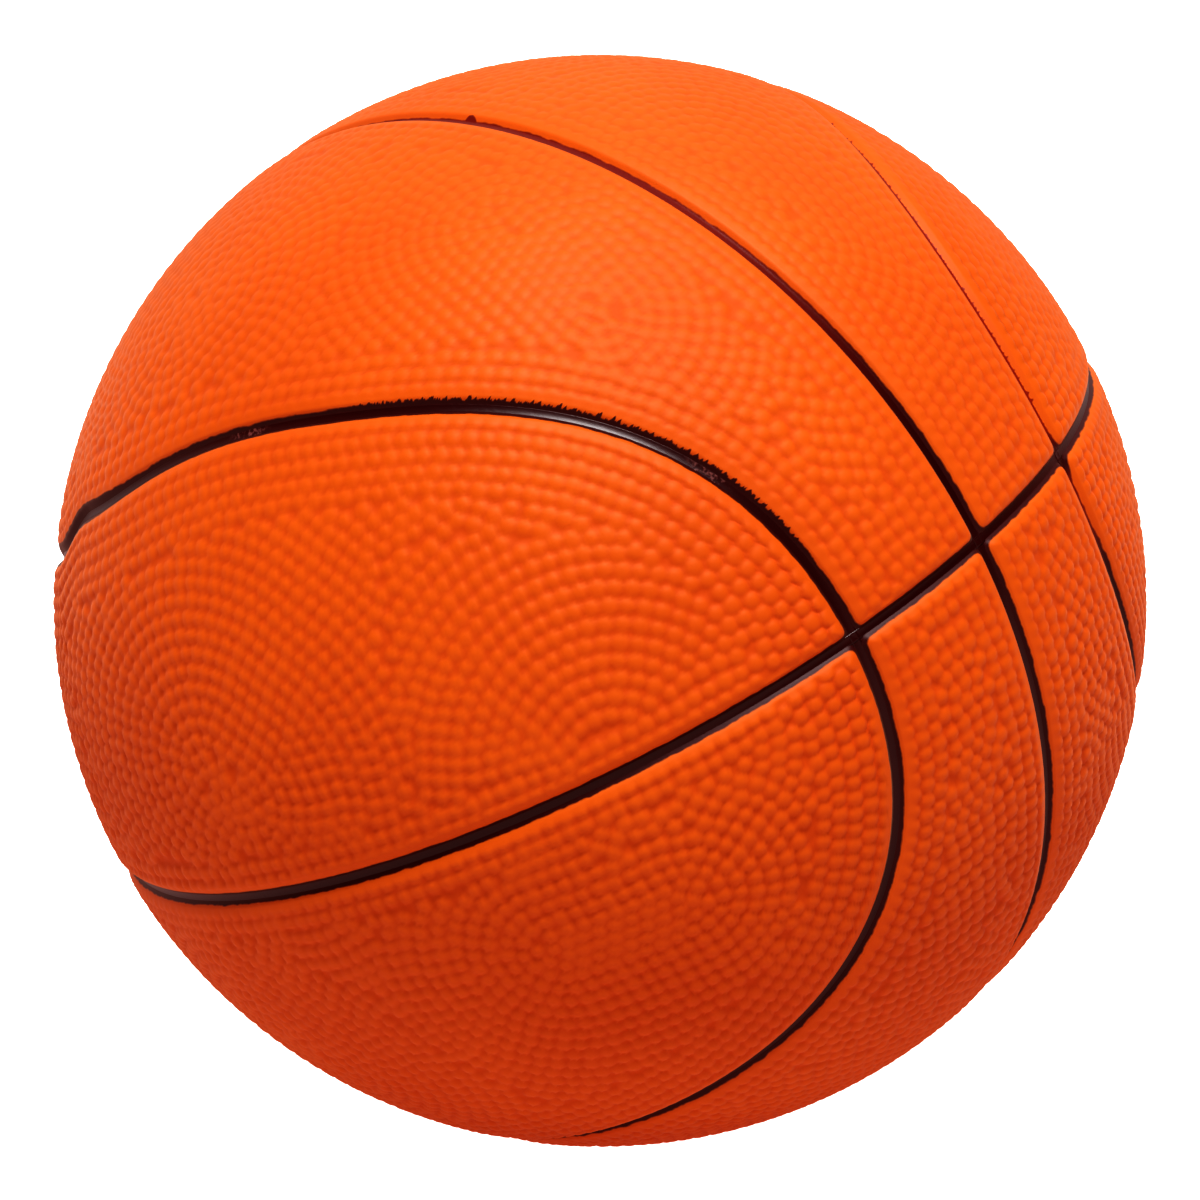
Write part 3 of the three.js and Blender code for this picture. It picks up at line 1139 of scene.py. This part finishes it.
@dataclass
class ValveAssembly:
    """The rubber valve and the smooth round land that is moulded round it."""

    form: BallForm
    sizes: ValveForm

    def frame_axes(self) -> np.ndarray:
        """Three rows in the frame: across, out along the valve's axis, and across again."""
        out = self.form.to_frame(self.sizes.direction(self.form))
        across = unit(np.cross(out, (0.0, 0.0, 1.0)))
        return np.stack([across, out, np.cross(across, out)])

    def lathe(self, name: str, profile: np.ndarray, material: bpy.types.Material) -> bpy.types.Object:
        """Turns a closed profile about the valve's axis.

        A point at radius r and height h goes to r cos(a), h, r sin(a). A profile that starts and ends
        on the axis has one point at each pole.

        Args:
            name: The piece's name.
            profile: Radii and heights above the ball's surface, running up the outside. A ring's
                then runs down its inside, and a solid's goes from its lower pole to its upper one.
            material: The piece's material.

        Returns:
            The piece.
        """
        sides = self.sizes.sides
        turn = np.linspace(0.0, 2 * math.pi, sides, endpoint=False)
        solid = profile[0, 0] == 0.0
        body = profile[1:-1] if solid else profile
        rings = np.stack(
            [
                body[:, 0] * np.cos(turn)[:, None],
                np.broadcast_to(body[:, 1], (sides, len(body))),
                body[:, 0] * np.sin(turn)[:, None],
            ],
            axis=-1,
        )
        around = len(body)
        ring = np.arange(sides)[:, None] * around
        after = (np.arange(1, sides + 1) % sides)[:, None] * around
        number = np.arange(around if not solid else around - 1)[None, :]
        following = (number + 1) % around
        faces = np.stack([ring + number, ring + following, after + following, after + number], axis=-1)
        faces = faces.reshape(-1, 4).tolist()
        points = rings.reshape(-1, 3)
        if solid:
            low, high = len(points), len(points) + 1
            poles = np.array([[0.0, profile[0, 1], 0.0], [0.0, profile[-1, 1], 0.0]])
            points = np.concatenate([points, poles])
            first, last = ring[:, 0], ring[:, 0] + around - 1
            next_first, next_last = after[:, 0], after[:, 0] + around - 1
            faces += np.stack([np.full(sides, low), first, next_first], axis=1).tolist()
            faces += np.stack([np.full(sides, high), next_last, last], axis=1).tolist()
        centre = self.form.to_frame(self.sizes.direction(self.form)) * self.form.radius
        placed = points @ self.frame_axes() + centre
        return make_piece(name, placed, faces, material)

    def rounded(self, radius: float, height: float, outward: float) -> np.ndarray:
        """A quarter circle from a wall at a radius up to a face at a height.

        Args:
            radius: The wall's radius.
            height: The face's height.
            outward: 1 where the wall faces outwards, -1 where it faces the axis.

        Returns:
            Five points, from the wall to the face.
        """
        edge = self.sizes.edge
        bend = np.linspace(0.0, math.pi / 2, 5)
        radii = radius - outward * edge * (1.0 - np.cos(bend))
        return np.stack([radii, height - edge * (1.0 - np.sin(bend))], axis=1)

    def plug(self, material: bpy.types.Material) -> bpy.types.Object:
        """The valve: a stem and a wider head, with a rounded face and a needle hole down its middle."""
        s = self.sizes
        face = -s.recess
        dish = np.linspace(s.head_radius - s.edge, s.needle_radius + s.edge, 7)[1:-1]
        crown = face + s.crown_rise * np.sin(np.linspace(0, math.pi, 7))[1:-1]
        profile = np.concatenate(
            [
                [[0.0, face - s.length], [s.stem_radius - s.end_bevel, face - s.length]],
                [[s.stem_radius, face - s.length + s.end_bevel]],
                [[s.stem_radius, face - s.head_height - s.taper_height]],
                [[s.head_radius, face - s.head_height]],
                self.rounded(s.head_radius, face, 1.0),
                np.stack([dish, crown], axis=1),
                self.rounded(s.needle_radius, face, -1.0)[::-1],
                [[s.needle_radius, face - s.needle_depth], [0.0, face - s.needle_depth]],
            ]
        )
        return self.lathe("valve_plug", profile, material)

    def land(self, material: bpy.types.Material) -> bpy.types.Object:
        """The land: a smooth ring flush with the ball, its outer edge tucked into the cover."""
        s = self.sizes
        inner = s.head_radius + s.land_gap
        across = np.linspace(inner + s.edge, s.land_radius - s.edge, 9)[1:-1]
        drop = np.sqrt(self.form.radius**2 - across**2) - self.form.radius
        profile = np.concatenate(
            [
                [[s.land_radius, -s.land_height]],
                self.rounded(s.land_radius, -0.25 * MM, 1.0),
                np.stack([across, drop + 0.1 * MM], axis=1)[::-1],
                self.rounded(inner, -0.02 * MM, -1.0)[::-1],
                [[inner, -s.land_height]],
            ]
        )
        piece = self.lathe("valve_land", profile, material)
        count = len(piece.data.vertices)
        far_from_channels = 50.0
        add_attribute(piece, "channel_distance", np.full(count, far_from_channels))
        for label in ("creep", "along", "thin_paint", "valley_shade"):
            add_attribute(piece, label, np.zeros(count))
        return piece


@dataclass
class Studio:
    """A light table, one soft overhead light, the surroundings and the camera.

    The camera sees the table and the surroundings as plain white. The light that they give the ball
    is dimmer, and red from below and from in front.
    """

    form: BallForm
    distance_in_radii: float = 8.55
    elevation: float = 10.0
    lens: float = 138.4
    floor_half: float = 40.0
    floor_drop: float = 0.35 * MM
    floor_tone: float = 0.9
    floor_bounce: float = 0.25
    floor_glow: float = 0.36
    floor_shine: float = 0.8
    floor_tint: tuple[float, float, float, float] = (1.0, 0.5, 0.44, 1.0)
    sun_strength: float = 2.08
    sun_spread: float = 26.0
    sun_place: tuple[float, float, float] = (0.1, -0.62, 1.2)
    front_glow: tuple[float, float, float, float] = (1.0, 0.2, 0.1, 1.0)
    white: tuple[float, float, float, float] = (1.0, 1.0, 1.0, 1.0)
    bright_way: tuple[float, float, float] = (-0.14, 1.0, 0.27)
    dim_below: float = -0.3
    bright_above: float = 0.7
    dim: float = 0.06
    bright: float = 0.55
    backdrop: float = 1.5

    def grey(self, tone: float) -> tuple[float, float, float, float]:
        """A grey of a tone."""
        return tone, tone, tone, 1.0

    def only_camera_sees(self, nodes: NodeBench) -> bpy.types.NodeSocket:
        """1 for what the camera sees directly, and 0 for what lights the ball."""
        return nodes.add("ShaderNodeLightPath").outputs["Is Camera Ray"]

    def floor(self) -> bpy.types.Object:
        """A wide pale floor that glows a little, as a light table does.

        It is white to the camera, and gives the ball a dimmer and redder light. The lowest pebbles
        sink half a millimetre into it.
        """
        half, level = self.floor_half, -self.form.radius - self.floor_drop
        mesh = bpy.data.meshes.new("floor")
        corners = [(-half, -half, level), (half, -half, level), (half, half, level), (-half, half, level)]
        mesh.from_pydata(corners, [], [(0, 1, 2, 3)])
        floor = bpy.data.objects.new("floor", mesh)
        bpy.context.scene.collection.objects.link(floor)
        material, nodes = new_material("floor_pale")
        surface = nodes.principled
        surface.inputs["Roughness"].default_value = 0.9
        surface.inputs["Specular IOR Level"].default_value = 0.0
        seen = self.only_camera_sees(nodes)
        hue = nodes.lay_over(seen, self.floor_tint, self.white)
        nodes.link(hue, surface.inputs["Emission Color"])
        glow = nodes.blend(seen, self.floor_glow, self.floor_shine)
        nodes.link(glow, surface.inputs["Emission Strength"])
        tone = nodes.lay_over(seen, self.grey(self.floor_bounce), self.grey(self.floor_tone))
        nodes.link(tone, surface.inputs["Base Color"])
        mesh.materials.append(material)
        return floor

    def key_light(self) -> None:
        """One large soft light, far above and a little in front."""
        data = bpy.data.lights.new("overhead", "SUN")
        data.energy = self.sun_strength
        data.angle = math.radians(self.sun_spread)
        light = bpy.data.objects.new("overhead", data)
        place = Vector(self.sun_place)
        light.location = place
        light.rotation_mode = "QUATERNION"
        light.rotation_quaternion = (-place).to_track_quat("-Z", "Y")
        bpy.context.scene.collection.objects.link(light)

    def surroundings(self) -> None:
        """White all round to the camera. What lights the ball is bright behind it, dim and red in front."""
        world = bpy.data.worlds.new("studio")
        world.use_nodes = True
        nodes = NodeBench(world.node_tree)
        glow = world.node_tree.nodes["Background"]
        along = nodes.add("ShaderNodeVectorMath")
        along.operation = "DOT_PRODUCT"
        along.inputs[1].default_value = self.bright_way
        nodes.link(nodes.add("ShaderNodeTexCoord").outputs["Generated"], along.inputs[0])
        towards = along.outputs["Value"]
        strength = nodes.map_range(towards, self.dim_below, self.bright_above, self.dim, self.bright)
        strength.node.interpolation_type = "SMOOTHSTEP"
        nodes.link(strength, glow.inputs["Strength"])
        nodes.link(nodes.ramp(towards, 0.0, 1.0, self.front_glow, self.white), glow.inputs["Color"])
        backdrop = nodes.add("ShaderNodeBackground")
        backdrop.inputs["Color"].default_value = self.white
        backdrop.inputs["Strength"].default_value = self.backdrop
        either = nodes.add("ShaderNodeMixShader")
        nodes.link(self.only_camera_sees(nodes), either.inputs["Fac"])
        nodes.link(glow.outputs["Background"], either.inputs[1])
        nodes.link(backdrop.outputs["Background"], either.inputs[2])
        nodes.link(either.outputs["Shader"], world.node_tree.nodes["World Output"].inputs["Surface"])
        bpy.context.scene.world = world

    def camera(self) -> None:
        """A long lens aimed at the ball's centre from in front and a little above."""
        data = bpy.data.cameras.new("camera")
        data.lens = self.lens
        data.sensor_width = 36.0
        camera = bpy.data.objects.new("camera", data)
        lift = math.radians(self.elevation)
        back = Vector((0.0, -math.cos(lift), math.sin(lift)))
        camera.location = back * self.distance_in_radii * self.form.radius
        camera.rotation_mode = "QUATERNION"
        camera.rotation_quaternion = (-back).to_track_quat("-Z", "Y")
        bpy.context.scene.collection.objects.link(camera)
        bpy.context.scene.camera = camera

    def build(self) -> None:
        """Makes the floor, the light, the surroundings and the camera, and sets a contrasty print."""
        self.floor()
        self.key_light()
        self.surroundings()
        self.camera()
        bpy.context.scene.view_settings.view_transform = "Standard"
        bpy.context.scene.view_settings.look = "Very High Contrast"


@dataclass
class Basketball:
    """The whole ball: eight cover panels, four channel beds and the valve."""

    form: BallForm

    def panels(self) -> list[Panel]:
        """The eight panels, each with its own seed."""
        places = [(side, half) for side in Side for half in Half]
        ends = [EndPanel(self.form, side, half, 10 + i) for i, (side, half) in enumerate(places)]
        bands = [BandPanel(self.form, side, half, 20 + i) for i, (side, half) in enumerate(places)]
        return [*ends, *bands]

    def beds(self) -> list[ChannelBed]:
        """The four channel beds: two circles and two ribs."""
        turn = np.linspace(0.0, 2 * math.pi, 600, endpoint=False)
        flat = np.zeros_like(turn)
        wrapped = (turn + math.pi) % (2 * math.pi) - math.pi
        lines = {
            "channel_equator": np.stack([np.cos(turn), np.sin(turn), flat], axis=1),
            "channel_meridian": np.stack([flat, np.cos(turn), np.sin(turn)], axis=1),
            "channel_front_rib": self.form.place(
                Side.FRONT, self.form.rib_angle(Side.FRONT, wrapped), wrapped
            ),
            "channel_back_rib": self.form.place(
                Side.BACK, self.form.rib_angle(Side.BACK, wrapped), wrapped
            )[::-1],
        }
        return [ChannelBed(self.form, name, line) for name, line in lines.items()]

    def build(self) -> None:
        """Builds every piece and ties it to the frame."""
        cover = CoverRubber().material()
        paint = ChannelPaint().material()
        valve_rubber = ValveRubber().material()
        for panel in self.panels():
            piece = panel.build(cover)
            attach(piece, "root")
            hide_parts("ball")
            report(piece)
        for bed in self.beds():
            piece = bed.build(paint)
            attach(piece, "root")
            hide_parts("ball")
            report(piece)
        valve = ValveAssembly(self.form, ValveForm())
        land = valve.land(cover)
        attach(land, "root")
        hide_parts("ball")
        report(land)
        plug = valve.plug(valve_rubber)
        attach(plug, "root")
        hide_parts("valve")
        report(plug)


def main() -> None:
    """Builds the ball and the studio."""
    logging.basicConfig(level=logging.INFO, format="%(message)s")
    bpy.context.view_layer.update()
    form = BallForm()
    Basketball(form).build()
    Studio(form).build()


if __name__ == "__main__":
    main()
